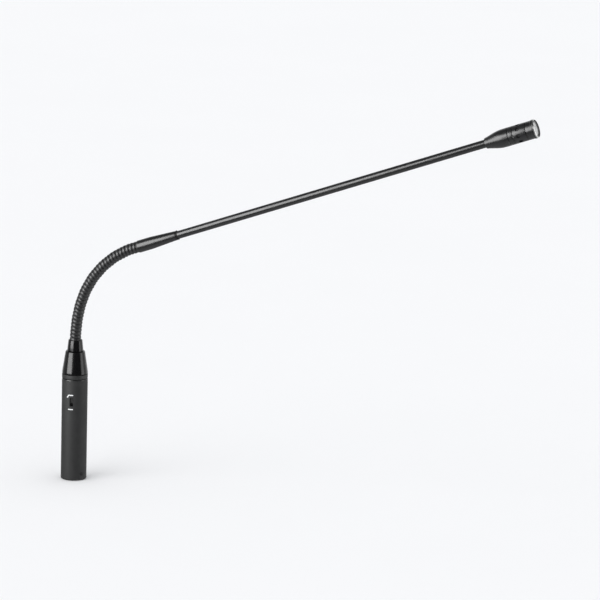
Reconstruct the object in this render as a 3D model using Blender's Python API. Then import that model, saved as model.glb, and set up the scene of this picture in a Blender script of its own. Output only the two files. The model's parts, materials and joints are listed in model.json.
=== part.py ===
"""Gooseneck podium microphone: an XLR base module, a bendable neck, a slim arm and a small capsule head.

The base stands on the Z axis with its socket's rim at z = 0. The neck bends in the X-Z plane and carries the
arm towards +X. Lengths in the constants below are millimetres and angles are degrees.
"""

import math

import bmesh
import bpy
from mathutils import Matrix, Vector

MM = 0.001
GAP = 0.3

# base module
BASE_R = 9.5
BASE_WALL = 1.2
HOUSING_TOP = 75.7
RING_TOP = 79.15
CONE_BOTTOM = 79.45
CONE_TOP = 96.8
CONE_TOP_R = 7.1
COLLAR_TOP = 104.8
COLLAR_BOTTOM_R = 5.9
COLLAR_TOP_R = 5.05

# signal connector in the base
SOCKET_DEPTH = 12.0
INSULATOR_THICK = 5.0
PIN_R = 1.2
PIN_CIRCLE_R = 4.1
PIN_ANGLES = (20.0, 160.0, 270.0)
LATCH_SLOT_Z = 8.0

# low-cut switch
SWITCH_AZIMUTH = 5.6
SWITCH_Z = 59.3
SWITCH_WIDTH = 3.0
SWITCH_HEIGHT = 6.4
SLIDER_WIDTH = 2.4
SLIDER_HEIGHT = 3.6
SLIDER_FACE = 8.5
SLIDER_ROOT = 6.3
GRIP_HEIGHT = 0.3

# neck
NECK_LENGTH = 94.3
NECK_R = 3.95
NECK_BORE_R = 1.4
HINGES = 16
LINK_LENGTH = 5.9
BALL_R = 2.8
BALL_GAP = 0.3
SHOULDER_DROP = 1.2
SKIRT_LIFT = 0.2
REST_BEND = 69.5
BEND_RAMP = 40.0
CABLE_R = 0.9

# arm, measured along its own axis from the ferrule's lower rim
FERRULE_LENGTH = 31.0
FERRULE_R = 4.55
FERRULE_TIP_R = 3.41
TUBE_R = 2.95
TUBE_WALL = 0.7
TUBE_START = 17.0
HEAD_START = 276.0
HEAD_R = 6.6
HEAD_WALL = 0.85
LOCK_RING_START = 294.8
PORT_SLEEVE_START = 298.5
FRONT_SLEEVE_START = 308.45
HEAD_FRONT = 315.1
FRONT_RIM_R = 6.9
PORT_R = 1.45
PORT_COUNT = 8
PORT_T = 302.4
GRILLE_T = 313.5
GRILLE_R = 5.8
GRILLE_THICK = 0.5

# microphone capsule, measured as the arm is
CUP_START = 298.9
CUP_END = 309.4
CUP_WALL = 0.5
DIAPHRAGM_T = 307.4
BACKPLATE_T = 305.6
CAPSULE_BOARD_T = 300.3
CABLE_END = 299.6


def clear_scene():
    for obj in list(bpy.data.objects):
        bpy.data.objects.remove(obj, do_unlink=True)


def make_material(name, color, metallic, roughness):
    material = bpy.data.materials.new(name)
    material.use_nodes = True
    shader = material.node_tree.nodes["Principled BSDF"]
    shader.inputs["Base Color"].default_value = (*color, 1.0)
    shader.inputs["Metallic"].default_value = metallic
    shader.inputs["Roughness"].default_value = roughness
    material.diffuse_color = (*color, 1.0)
    return material


def add_object(name, bm, look, placement, origin):
    """One closed body. The placement is in millimetres, and the origin is where the object's own origin goes."""
    bmesh.ops.transform(bm, matrix=Matrix.Translation(-origin) @ placement, verts=bm.verts)
    bmesh.ops.scale(bm, vec=(MM, MM, MM), verts=bm.verts)
    bmesh.ops.recalc_face_normals(bm, faces=bm.faces)
    mesh = bpy.data.meshes.new(name)
    bm.to_mesh(mesh)
    bm.free()
    obj = bpy.data.objects.new(name, mesh)
    obj.location = origin * MM
    bpy.context.collection.objects.link(obj)
    mesh.materials.append(make_material(name, *look))
    return obj


def shade_smooth(obj, angle=40.0):
    obj.data.shade_smooth()
    obj.data.set_sharp_from_angle(angle=math.radians(angle))


def revolved(profile, segments):
    """A body of revolution about Z from a closed (radius, height) outline. A point on the axis is one vertex."""
    bm = bmesh.new()
    turns = [2.0 * math.pi * i / segments for i in range(segments)]
    rings = []
    for radius, height in profile:
        if radius < 1e-6:
            rings.append([bm.verts.new((0.0, 0.0, height))])
        else:
            rings.append([bm.verts.new((radius * math.cos(a), radius * math.sin(a), height)) for a in turns])
    for lower, upper in zip(rings, rings[1:] + rings[:1]):
        if len(lower) == 1 and len(upper) == 1:
            continue
        for i in range(segments):
            j = (i + 1) % segments
            below = [lower[i % len(lower)], lower[j % len(lower)]]
            above = [upper[j % len(upper)], upper[i % len(upper)]]
            bm.faces.new(list(dict.fromkeys(below + above)))
    return bm


def ring_outline(inner, outer, start, end):
    return [(inner, start), (outer, start), (outer, end), (inner, end)]


def cuboid(size, centre=(0.0, 0.0, 0.0)):
    bm = bmesh.new()
    bmesh.ops.create_cube(bm, size=1.0)
    bmesh.ops.scale(bm, vec=size, verts=bm.verts)
    bmesh.ops.translate(bm, vec=centre, verts=bm.verts)
    return bm


def cylinder(radius, length, segments, matrix):
    """A solid rod centred on the matrix's origin, along its Z."""
    half = length / 2.0
    bm = revolved([(0.0, -half), (radius, -half), (radius, half), (0.0, half)], segments)
    bmesh.ops.transform(bm, matrix=matrix, verts=bm.verts)
    return bm


def swept(points, radius, segments):
    """A round rod along a path that lies in a plane with constant Y."""
    bm = bmesh.new()
    side = Vector((0.0, 1.0, 0.0))
    rings = []
    for i, point in enumerate(points):
        ahead = points[min(i + 1, len(points) - 1)] - points[max(i - 1, 0)]
        across = side.cross(ahead.normalized())
        ring = []
        for k in range(segments):
            a = 2.0 * math.pi * k / segments
            ring.append(bm.verts.new(point + radius * (math.cos(a) * side + math.sin(a) * across)))
        rings.append(ring)
    for lower, upper in zip(rings, rings[1:]):
        for k in range(segments):
            j = (k + 1) % segments
            bm.faces.new((lower[k], lower[j], upper[j], upper[k]))
    bm.faces.new(rings[0][::-1])
    bm.faces.new(rings[-1])
    return bm


def joined(pieces):
    """Several separate closed shapes in one mesh, for use as one cutter."""
    whole = bmesh.new()
    for piece in pieces:
        mesh = bpy.data.meshes.new("piece")
        piece.to_mesh(mesh)
        piece.free()
        whole.from_mesh(mesh)
        bpy.data.meshes.remove(mesh)
    return whole


def carve(obj, cutter_bm, placement, origin):
    """Cuts the shapes out of the object for good, and takes the cutter away."""
    cutter = add_object(obj.name + "_cutter", cutter_bm, ((0.5, 0.5, 0.5), 0.0, 0.5), placement, origin)
    boolean = obj.modifiers.new("cut", "BOOLEAN")
    boolean.operation = "DIFFERENCE"
    boolean.solver = "EXACT"
    boolean.object = cutter
    bpy.context.view_layer.update()
    evaluated = obj.evaluated_get(bpy.context.evaluated_depsgraph_get())
    carved = bpy.data.meshes.new_from_object(evaluated)
    obj.modifiers.clear()
    whole, obj.data = obj.data, carved
    bpy.data.meshes.remove(whole)
    bpy.data.objects.remove(cutter, do_unlink=True)
    while len(carved.materials) > 1:
        carved.materials.pop()


def around(azimuth):
    """Turns a shape that faces -Y to face this azimuth, counted from -Y towards +X."""
    return Matrix.Rotation(math.radians(azimuth), 4, "Z")


# looks: base colour, metallic, roughness

SATIN_BLACK = ((0.045, 0.045, 0.048), 0.6, 0.45)
GLOSS_BLACK = ((0.012, 0.012, 0.014), 0.2, 0.12)
MATTE_BLACK = ((0.03, 0.03, 0.03), 0.1, 0.7)
NECK_BLACK = ((0.035, 0.035, 0.037), 0.8, 0.35)
STEEL = ((0.55, 0.56, 0.58), 1.0, 0.3)
BRASS = ((0.72, 0.55, 0.28), 1.0, 0.3)
GOLD = ((0.85, 0.62, 0.28), 1.0, 0.25)
RUBBER = ((0.02, 0.02, 0.02), 0.0, 0.8)
GREEN_BOARD = ((0.03, 0.16, 0.07), 0.0, 0.45)
DARK_PLASTIC = ((0.05, 0.05, 0.055), 0.0, 0.5)
FOAM = ((0.06, 0.06, 0.06), 0.0, 0.95)


# layout of the neck and the arm


def bend_share(index):
    """How much of the bend this hinge takes: less next to the base, where the neck leaves upright."""
    along = 2 * index * LINK_LENGTH
    return 0.5 + 0.5 * min(1.0, along / BEND_RAMP)


def neck_layout():
    """The hinge centres, each link's angle from upright, and where the arm starts."""
    bends = [bend_share(i) for i in range(HINGES // 2)]
    unit = REST_BEND / sum(bends)
    point = Vector((0.0, 0.0, COLLAR_TOP + (NECK_LENGTH - (HINGES - 1) * LINK_LENGTH) / 2.0))
    stub = point.z - COLLAR_TOP
    angle = 0.0
    centres = []
    angles = []
    for i in range(HINGES):
        centres.append(point.copy())
        if i % 2 == 0:
            angle += bends[i // 2] * unit
        angles.append(angle)
        step = LINK_LENGTH if i < HINGES - 1 else stub
        point += step * direction(angle)
    return centres, angles, point


def direction(angle):
    return Vector((math.sin(math.radians(angle)), 0.0, math.cos(math.radians(angle))))


def leaning(point, angle):
    """A frame at the point, with Z leaning this far from upright towards +X."""
    return Matrix.Translation(point) @ Matrix.Rotation(math.radians(angle), 4, "Y")


UPRIGHT = Matrix.Identity(4)
CENTRE = Vector((0.0, 0.0, 0.0))
HINGE_CENTRES, LINK_ANGLES, ARM_START = neck_layout()
ARM_ORIGIN = HINGE_CENTRES[-1]
ARM = leaning(ARM_START, REST_BEND)


def base_piece(name, bm, look, placement=UPRIGHT):
    return add_object(name, bm, look, placement, CENTRE)


def arm_piece(name, bm, look):
    return add_object(name, bm, look, ARM, ARM_ORIGIN)


def round_base_piece(name, profile, look, segments=32):
    obj = base_piece(name, revolved(profile, segments), look)
    shade_smooth(obj)
    return obj


def round_arm_piece(name, profile, look, segments=24):
    obj = arm_piece(name, revolved(profile, segments), look)
    shade_smooth(obj)
    return obj


# base module


def build_housing():
    inner = BASE_R - BASE_WALL
    outline = [
        (inner, 0.0),
        (BASE_R - 0.3, 0.0),
        (BASE_R, 0.3),
        (BASE_R, HOUSING_TOP - 0.3),
        (BASE_R - 0.3, HOUSING_TOP),
        (inner, HOUSING_TOP),
    ]
    housing = round_base_piece("base_housing", outline, SATIN_BLACK, 40)
    radial = Matrix.Rotation(math.radians(90.0), 4, "X")
    window = cuboid((SWITCH_WIDTH, 4.0, SWITCH_HEIGHT), (0.0, -BASE_R, SWITCH_Z))
    bmesh.ops.transform(window, matrix=around(SWITCH_AZIMUTH), verts=window.verts)
    screw_hole = cylinder(1.3, 4.0, 16, around(56.4) @ Matrix.Translation((0.0, -BASE_R, 4.7)) @ radial)
    latch_slot = cuboid((4.8, 4.0, 3.2), (0.0, BASE_R, LATCH_SLOT_Z))
    key_groove = cuboid((3.0, 0.8, 6.0), (0.0, inner, 2.6))
    carve(housing, joined([window, screw_hole, latch_slot, key_groove]), UPRIGHT, CENTRE)
    shade_smooth(housing)


def build_set_screw():
    outline = [(0.0, -0.5), (1.0, -0.5), (1.0, 0.5), (0.55, 0.5), (0.55, 0.0), (0.0, 0.0)]
    radial = Matrix.Rotation(math.radians(90.0), 4, "X")
    placement = around(56.4) @ Matrix.Translation((0.0, -BASE_R + 0.75, 4.7)) @ radial
    base_piece("shell_set_screw", revolved(outline, 12), MATTE_BLACK, placement)


def build_collar_ring():
    inner = BASE_R - BASE_WALL
    bottom = HOUSING_TOP + GAP
    outline = [
        (inner, bottom),
        (BASE_R - 0.15, bottom),
        (BASE_R, bottom + 0.15),
        (BASE_R, RING_TOP),
        (inner, RING_TOP),
    ]
    round_base_piece("collar_ring", outline, MATTE_BLACK)


def build_coupling_sleeve():
    outer = BASE_R - BASE_WALL - GAP
    round_base_piece("coupling_sleeve", [(7.0, 68.0), (outer, 68.0), (outer, 82.0), (7.0, 82.0)], BRASS)


def build_cone():
    inner = BASE_R - BASE_WALL
    outline = [
        (inner, CONE_BOTTOM),
        (BASE_R - 0.2, CONE_BOTTOM),
        (BASE_R, CONE_BOTTOM + 0.3),
        (BASE_R, CONE_BOTTOM + 1.2),
        (9.3, CONE_BOTTOM + 2.5),
        (CONE_TOP_R, CONE_TOP - 0.4),
        (CONE_TOP_R - 0.4, CONE_TOP),
        (5.7, CONE_TOP),
        (5.7, CONE_TOP - 9.0),
        (inner, CONE_BOTTOM + 3.5),
    ]
    round_base_piece("neck_cone", outline, GLOSS_BLACK)


def build_collar():
    bottom = CONE_TOP + GAP
    outline = [
        (NECK_R + GAP, 88.5),
        (5.4, 88.5),
        (5.4, bottom),
        (COLLAR_BOTTOM_R, bottom),
        (COLLAR_TOP_R, COLLAR_TOP - 0.3),
        (COLLAR_TOP_R - 0.3, COLLAR_TOP),
        (NECK_R + GAP, COLLAR_TOP),
    ]
    round_base_piece("neck_collar", outline, GLOSS_BLACK)


def build_anchor():
    """The neck's fixed lower end: a stub through the collar with the first joint's ball on top."""
    pivot = HINGE_CENTRES[0].z
    outline = [
        (NECK_BORE_R, 84.0),
        (NECK_R, 84.0),
        (NECK_R, pivot - SHOULDER_DROP - 0.4),
        (NECK_R - 0.25, pivot - SHOULDER_DROP),
        *ball_outline(pivot),
    ]
    round_base_piece("neck_anchor", outline, NECK_BLACK, 24)
    nut = [(NECK_R + GAP, 84.6), (5.6, 84.6), (5.6, 88.2), (NECK_R + GAP, 88.2)]
    round_base_piece("anchor_nut", nut, BRASS, 24)


def build_insulator():
    outer = BASE_R - BASE_WALL - GAP
    top = SOCKET_DEPTH + INSULATOR_THICK
    insulator = round_base_piece(
        "xlr_insulator",
        [(0.0, SOCKET_DEPTH), (outer, SOCKET_DEPTH), (outer, top), (0.0, top)],
        DARK_PLASTIC,
        32,
    )
    holes = [cylinder(PIN_R + 0.15, 12.0, 12, Matrix.Translation(pin_point(a, top))) for a in PIN_ANGLES]
    tab_slot = cuboid((2.6, 1.6, 12.0), (0.0, outer, top))
    carve(insulator, joined([*holes, tab_slot]), UPRIGHT, CENTRE)
    shade_smooth(insulator)


def pin_point(angle, height):
    a = math.radians(angle)
    return Vector((PIN_CIRCLE_R * math.cos(a), PIN_CIRCLE_R * math.sin(a), height))


def build_pins():
    top = SOCKET_DEPTH + INSULATOR_THICK + 4.0
    outline = [(0.0, 1.6), (0.6, 1.75), (PIN_R, 2.6), (PIN_R, top), (0.0, top)]
    for number, angle in enumerate(PIN_ANGLES, start=1):
        place = Matrix.Translation(pin_point(angle, 0.0))
        pin = base_piece(f"xlr_pin_{number}", revolved(outline, 12), GOLD, place)
        shade_smooth(pin)


def build_ground_contact():
    """A flat spring strip that joins the socket's shell to the board."""
    strip = cuboid((2.0, 0.4, 9.0), (0.0, BASE_R - BASE_WALL - 0.65, SOCKET_DEPTH + 5.0))
    base_piece("ground_contact", strip, STEEL)


def build_electronics():
    base_piece("preamp_board", cuboid((14.0, 1.6, 42.0), (0.0, 2.1, 42.6)), GREEN_BOARD)
    for number, height in enumerate((28.0, 35.0), start=1):
        lying = Matrix.Translation((3.2, -2.3, height)) @ Matrix.Rotation(math.radians(90.0), 4, "X")
        can = base_piece(f"filter_capacitor_{number}", cylinder(2.4, 6.4, 16, lying), STEEL)
        shade_smooth(can)
    base_piece("amplifier_chip", cuboid((5.0, 1.5, 6.0), (-3.2, 0.25, 32.0)), DARK_PLASTIC)
    base_piece("output_transistor", cuboid((4.0, 2.6, 4.0), (3.4, -0.3, 44.0)), DARK_PLASTIC)
    base_piece("cable_connector", cuboid((5.0, 3.4, 4.4), (0.0, -0.7, 63.1)), DARK_PLASTIC)


def build_switch():
    depth = BASE_R - BASE_WALL
    frame_front = -depth + 1.0
    frame = base_piece(
        "switch_frame",
        cuboid((6.4, 4.0, 9.4), (0.0, frame_front + 2.0, SWITCH_Z)),
        DARK_PLASTIC,
        around(SWITCH_AZIMUTH),
    )
    pocket = cuboid((3.1, 3.0, 6.6), (0.0, frame_front, SWITCH_Z))
    carve(frame, pocket, around(SWITCH_AZIMUTH), CENTRE)
    slider_z = SWITCH_Z + (SWITCH_HEIGHT - SLIDER_HEIGHT) / 2.0 - GAP
    place = around(SWITCH_AZIMUTH)
    centre = place @ Vector((0.0, -7.6, slider_z))
    add_object("switch_slider", slider_body(slider_z), SATIN_BLACK, place, centre)


def slider_body(height):
    """The finger block: a stem that reaches into the frame, with raised grips across its outer face."""
    half = SLIDER_HEIGHT / 2.0
    grip = SLIDER_HEIGHT / 3.0
    outline = [(-SLIDER_ROOT, -half), (-SLIDER_FACE, -half)]
    for start in (-half + grip / 3.0, -half + 2.0 * grip - grip / 3.0):
        outline.append((-SLIDER_FACE, start))
        outline.append((-SLIDER_FACE - GRIP_HEIGHT, start + grip / 4.0))
        outline.append((-SLIDER_FACE - GRIP_HEIGHT, start + grip / 2.0))
        outline.append((-SLIDER_FACE, start + 0.75 * grip))
    outline += [(-SLIDER_FACE, half), (-SLIDER_ROOT, half)]
    bm = bmesh.new()
    left = [bm.verts.new((-SLIDER_WIDTH / 2.0, y, z + height)) for y, z in outline]
    right = [bm.verts.new((SLIDER_WIDTH / 2.0, y, z + height)) for y, z in outline]
    for i in range(len(outline)):
        j = (i + 1) % len(outline)
        bm.faces.new((left[i], left[j], right[j], right[i]))
    bm.faces.new(left[::-1])
    bm.faces.new(right)
    return bm


# neck


def ball_outline(pivot):
    """The round end above a shoulder, from its root to its open top, for an outline going up."""
    points = [(math.sqrt(BALL_R**2 - SHOULDER_DROP**2), pivot - SHOULDER_DROP), (BALL_R, pivot)]
    top = math.acos(NECK_BORE_R / BALL_R)
    points.append((BALL_R * math.cos(top / 2.0), pivot + BALL_R * math.sin(top / 2.0)))
    points.append((NECK_BORE_R, pivot + BALL_R * math.sin(top)))
    return points


def socket_outline():
    """The hollow that a ball turns in, from the bore out to the skirt's inner edge, for a pivot at zero."""
    radius = BALL_R + BALL_GAP
    top = math.acos(NECK_BORE_R / radius)
    points = [(NECK_BORE_R, radius * math.sin(top))]
    points.append((radius * math.cos(top / 2.0), radius * math.sin(top / 2.0)))
    points.append((math.sqrt(radius**2 - SKIRT_LIFT**2), SKIRT_LIFT))
    return points


def build_links():
    """Rigid sleeves, each with a socket below and a ball above, that bend as the wound neck does."""
    outline = [
        (NECK_R - 0.25, SKIRT_LIFT),
        (NECK_R, SKIRT_LIFT + 0.5),
        (NECK_R, LINK_LENGTH - SHOULDER_DROP - 0.4),
        (NECK_R - 0.25, LINK_LENGTH - SHOULDER_DROP),
        *ball_outline(LINK_LENGTH),
        *socket_outline(),
    ]
    for i in range(HINGES - 1):
        centre = HINGE_CENTRES[i]
        link = add_object(
            f"neck_link_{i + 1:02d}",
            revolved(outline, 16),
            NECK_BLACK,
            leaning(centre, LINK_ANGLES[i]),
            centre,
        )
        shade_smooth(link)


def cable_path():
    """The cable's centre line: up the base, round the neck's bend and along the arm."""
    points = [Vector((0.0, 0.0, height)) for height in (66.0, 85.0, HINGE_CENTRES[0].z - 1.5)]
    for i in range(HINGES):
        centre = HINGE_CENTRES[i]
        before = LINK_ANGLES[i - 1] if i else 0.0
        if i % 2 == 0:
            points.append(centre - 1.2 * direction(before))
            points.append(centre + 1.2 * direction(LINK_ANGLES[i]))
    along = direction(REST_BEND)
    points.append(ARM_START + 2.0 * along)
    points.append(ARM_START + CABLE_END * along)
    return points


# arm and head


def build_end_sleeve():
    """The neck's upper end: a socket for the last joint, turned down where the ferrule grips it."""
    stub = (ARM_START - ARM_ORIGIN).length
    socket = [(radius, height - stub) for radius, height in socket_outline()]
    outline = [
        (NECK_R - 0.25, SKIRT_LIFT - stub),
        (NECK_R, SKIRT_LIFT - stub + 0.4),
        (NECK_R, -0.4),
        (3.5, -0.3),
        (3.5, 14.0),
        (NECK_BORE_R, 14.0),
        *socket,
    ]
    round_arm_piece("neck_end_sleeve", outline, NECK_BLACK, 24)


def build_ferrule():
    bore = TUBE_R + 0.15
    outline = [
        (3.8, 0.0),
        (FERRULE_R - 0.25, 0.0),
        (FERRULE_R, 0.5),
        (FERRULE_R - 0.05, 11.0),
        (4.3, 14.5),
        (FERRULE_TIP_R, FERRULE_LENGTH - 0.3),
        (FERRULE_TIP_R - 0.12, FERRULE_LENGTH),
        (bore, FERRULE_LENGTH),
        (bore, 15.5),
        (3.8, 15.5),
    ]
    round_arm_piece("neck_ferrule", outline, SATIN_BLACK)


def build_ferrule_ring():
    start = FERRULE_LENGTH + GAP
    bore = TUBE_R + 0.15
    outline = [(bore, start), (3.35, start), (3.5, start + 0.4), (3.35, start + 0.9), (bore, start + 0.9)]
    round_arm_piece("ferrule_ring", outline, RUBBER, 24)


def build_tube():
    inner = TUBE_R - TUBE_WALL
    end = HEAD_START + 9.0
    round_arm_piece("arm_tube", ring_outline(inner, TUBE_R, TUBE_START, end), SATIN_BLACK)


def build_rear_shell():
    """The head's back: a small step at the tube, then a full, rounded shoulder out to the head's width."""
    bore = TUBE_R + 0.15
    inner = HEAD_R - HEAD_WALL
    outline = [
        (bore, HEAD_START),
        (3.6, HEAD_START),
        (3.87, HEAD_START + 0.4),
        (4.26, HEAD_START + 2.2),
        (5.2, HEAD_START + 5.6),
        (6.1, HEAD_START + 9.0),
        (6.45, HEAD_START + 11.4),
        (HEAD_R, HEAD_START + 14.0),
        (HEAD_R, LOCK_RING_START - GAP),
        (inner, LOCK_RING_START - GAP),
        (inner, HEAD_START + 13.0),
        (4.3, HEAD_START + 9.5),
        (bore, HEAD_START + 9.5),
    ]
    round_arm_piece("head_rear_shell", outline, SATIN_BLACK, 24)


def build_lock_ring():
    inner = HEAD_R - HEAD_WALL
    end = PORT_SLEEVE_START - GAP
    outline = [(inner, LOCK_RING_START), (HEAD_R, LOCK_RING_START), (HEAD_R, end), (inner, end)]
    round_arm_piece("head_lock_ring", outline, SATIN_BLACK, 24)


def build_port_sleeve():
    inner = HEAD_R - HEAD_WALL
    end = FRONT_SLEEVE_START - GAP
    outline = [(inner, PORT_SLEEVE_START), (HEAD_R, PORT_SLEEVE_START), (HEAD_R, end), (inner, end)]
    sleeve = round_arm_piece("head_port_sleeve", outline, SATIN_BLACK, 24)
    lying = Matrix.Rotation(math.radians(90.0), 4, "X")
    ports = []
    for i in range(PORT_COUNT):
        turn = around(10.0 + 360.0 * i / PORT_COUNT)
        ports.append(cylinder(PORT_R, 4.0, 12, turn @ Matrix.Translation((0.0, -HEAD_R, PORT_T)) @ lying))
    carve(sleeve, joined(ports), ARM, ARM_ORIGIN)
    shade_smooth(sleeve)


def build_front_sleeve():
    step = GRILLE_T - GAP
    outline = [
        (HEAD_R - HEAD_WALL, FRONT_SLEEVE_START),
        (HEAD_R, FRONT_SLEEVE_START),
        (HEAD_R, HEAD_FRONT - 3.2),
        (FRONT_RIM_R, HEAD_FRONT - 2.4),
        (FRONT_RIM_R, HEAD_FRONT - 0.6),
        (FRONT_RIM_R - 0.3, HEAD_FRONT),
        (6.1, HEAD_FRONT),
        (6.1, step),
        (5.4, step),
        (5.4, FRONT_SLEEVE_START + 2.0),
    ]
    round_arm_piece("head_front_sleeve", outline, SATIN_BLACK, 24)


def build_grille():
    top = GRILLE_T + GRILLE_THICK
    disc = [(0.0, GRILLE_T), (GRILLE_R, GRILLE_T), (GRILLE_R, top), (0.0, top)]
    grille = round_arm_piece("front_grille", disc, STEEL, 24)
    holes = [cylinder(0.8, 4.0, 6, Matrix.Translation((0.0, 0.0, GRILLE_T)))]
    for ring, count in ((1, 6), (2, 12)):
        for i in range(count):
            spot = Matrix.Rotation(2.0 * math.pi * i / count, 4, "Z") @ Vector((2.2 * ring, 0.0, GRILLE_T))
            holes.append(cylinder(0.8, 4.0, 6, Matrix.Translation(spot)))
    carve(grille, joined(holes), ARM, ARM_ORIGIN)
    shade_smooth(grille)
    start = top + GAP
    lip = [(5.3, start), (5.8, start), (5.8, start + 0.6), (5.3, start + 0.4)]
    round_arm_piece("grille_snap_ring", lip, STEEL, 24)


def build_capsule():
    """The capsule's cup, open to the front, and the parts stacked inside it behind a foam disc."""
    outer = HEAD_R - HEAD_WALL - 0.6
    inner = outer - CUP_WALL
    foam_end = GRILLE_T - GAP
    round_arm_piece("grille_foam", [(0.0, 310.2), (5.1, 310.2), (5.1, foam_end), (0.0, foam_end)], FOAM)
    floor = CUP_START + 0.6
    cup = [(1.6, CUP_START), (outer, CUP_START), (outer, CUP_END), (inner, CUP_END), (inner, floor), (1.6, floor)]
    round_arm_piece("capsule_cup", cup, BRASS, 28)
    clamp = ring_outline(3.2, inner - 0.15, DIAPHRAGM_T + 0.6, DIAPHRAGM_T + 1.5)
    round_arm_piece("diaphragm_ring", clamp, STEEL)
    round_arm_piece("capsule_diaphragm", ring_outline(0.0, 4.2, DIAPHRAGM_T, DIAPHRAGM_T + 0.3), GOLD)
    round_arm_piece("capsule_backplate", ring_outline(0.5, 4.2, BACKPLATE_T, BACKPLATE_T + 1.4), BRASS)
    board = ring_outline(1.3, 4.4, CAPSULE_BOARD_T, CAPSULE_BOARD_T + 1.2)
    round_arm_piece("capsule_board", board, GREEN_BOARD, 20)
    gasket = ring_outline(outer + 0.15, outer + 0.45, CUP_START + 0.4, CUP_START + 1.2)
    round_arm_piece("capsule_gasket", gasket, RUBBER)


def main():
    clear_scene()
    build_housing()
    build_set_screw()
    build_collar_ring()
    build_coupling_sleeve()
    build_cone()
    build_collar()
    build_anchor()
    build_insulator()
    build_pins()
    build_ground_contact()
    build_electronics()
    build_switch()
    build_links()
    cable = base_piece("signal_cable", swept(cable_path(), CABLE_R, 8), RUBBER)
    shade_smooth(cable)
    build_end_sleeve()
    build_ferrule()
    build_ferrule_ring()
    build_tube()
    build_rear_shell()
    build_lock_ring()
    build_port_sleeve()
    build_front_sleeve()
    build_grille()
    build_capsule()


main()
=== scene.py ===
import json
import math

import bmesh
import bpy
from mathutils import Matrix, Vector


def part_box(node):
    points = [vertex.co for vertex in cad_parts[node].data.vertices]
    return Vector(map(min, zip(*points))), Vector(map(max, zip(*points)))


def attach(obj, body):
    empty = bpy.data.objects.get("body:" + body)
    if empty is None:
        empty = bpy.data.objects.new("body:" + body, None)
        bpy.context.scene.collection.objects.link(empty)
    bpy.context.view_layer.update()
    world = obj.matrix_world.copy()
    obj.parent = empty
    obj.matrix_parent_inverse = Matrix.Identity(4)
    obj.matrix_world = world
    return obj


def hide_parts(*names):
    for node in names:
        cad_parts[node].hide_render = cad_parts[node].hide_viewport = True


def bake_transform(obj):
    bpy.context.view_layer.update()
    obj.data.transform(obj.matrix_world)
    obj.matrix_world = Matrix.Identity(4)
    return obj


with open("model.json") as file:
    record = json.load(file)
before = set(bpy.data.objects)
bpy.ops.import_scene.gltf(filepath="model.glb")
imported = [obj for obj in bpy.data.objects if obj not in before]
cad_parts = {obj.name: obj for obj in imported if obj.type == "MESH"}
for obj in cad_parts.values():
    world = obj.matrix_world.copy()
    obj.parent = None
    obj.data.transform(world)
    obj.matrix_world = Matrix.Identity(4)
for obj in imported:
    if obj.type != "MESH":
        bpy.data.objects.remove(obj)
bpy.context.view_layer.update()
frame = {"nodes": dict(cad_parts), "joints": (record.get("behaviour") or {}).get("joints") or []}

MM = 0.001

# the neck's hinges in order, from the base to the arm
HINGES = [joint for joint in frame["joints"] if joint["type"] == "hinge"]
PIVOTS = [Vector(joint["pos_m"]) for joint in HINGES]

# how far the arm leans from upright at rest, in degrees, towards +X
REST_LEAN = 69.5
ARM_DIRECTION = Vector((math.sin(math.radians(REST_LEAN)), 0.0, math.cos(math.radians(REST_LEAN))))
UP = Vector((0.0, 0.0, 1.0))

# in metres: half a link, and from the last hinge to the point where heights on the arm start
HALF_LINK = 0.00295
ARM_SETBACK = 0.0029
ARM_START = PIVOTS[-1] + ARM_SETBACK * ARM_DIRECTION

# the places of the base module and of the arm; a shape placed on the arm has its Z along the tube
BASE = Matrix.Identity(4)
ARM = Matrix.Translation(ARM_START) @ Matrix.Rotation(math.radians(REST_LEAN), 4, "Y")

SLIDER_LOW, SLIDER_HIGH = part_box("switch_slider")
SWITCH_AZIMUTH = math.degrees(math.atan2(SLIDER_LOW.x + SLIDER_HIGH.x, -SLIDER_LOW.y - SLIDER_HIGH.y))


# ---------------------------------------------------------------- materials


def map_range(tree, source, low, high, start=0.0, end=1.0):
    """A node whose result runs from low to high while the source runs from start to end."""
    node = tree.nodes.new("ShaderNodeMapRange")
    node.inputs["From Min"].default_value = start
    node.inputs["From Max"].default_value = end
    node.inputs["To Min"].default_value = low
    node.inputs["To Max"].default_value = high
    tree.links.new(source, node.inputs["Value"])
    return node


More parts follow.
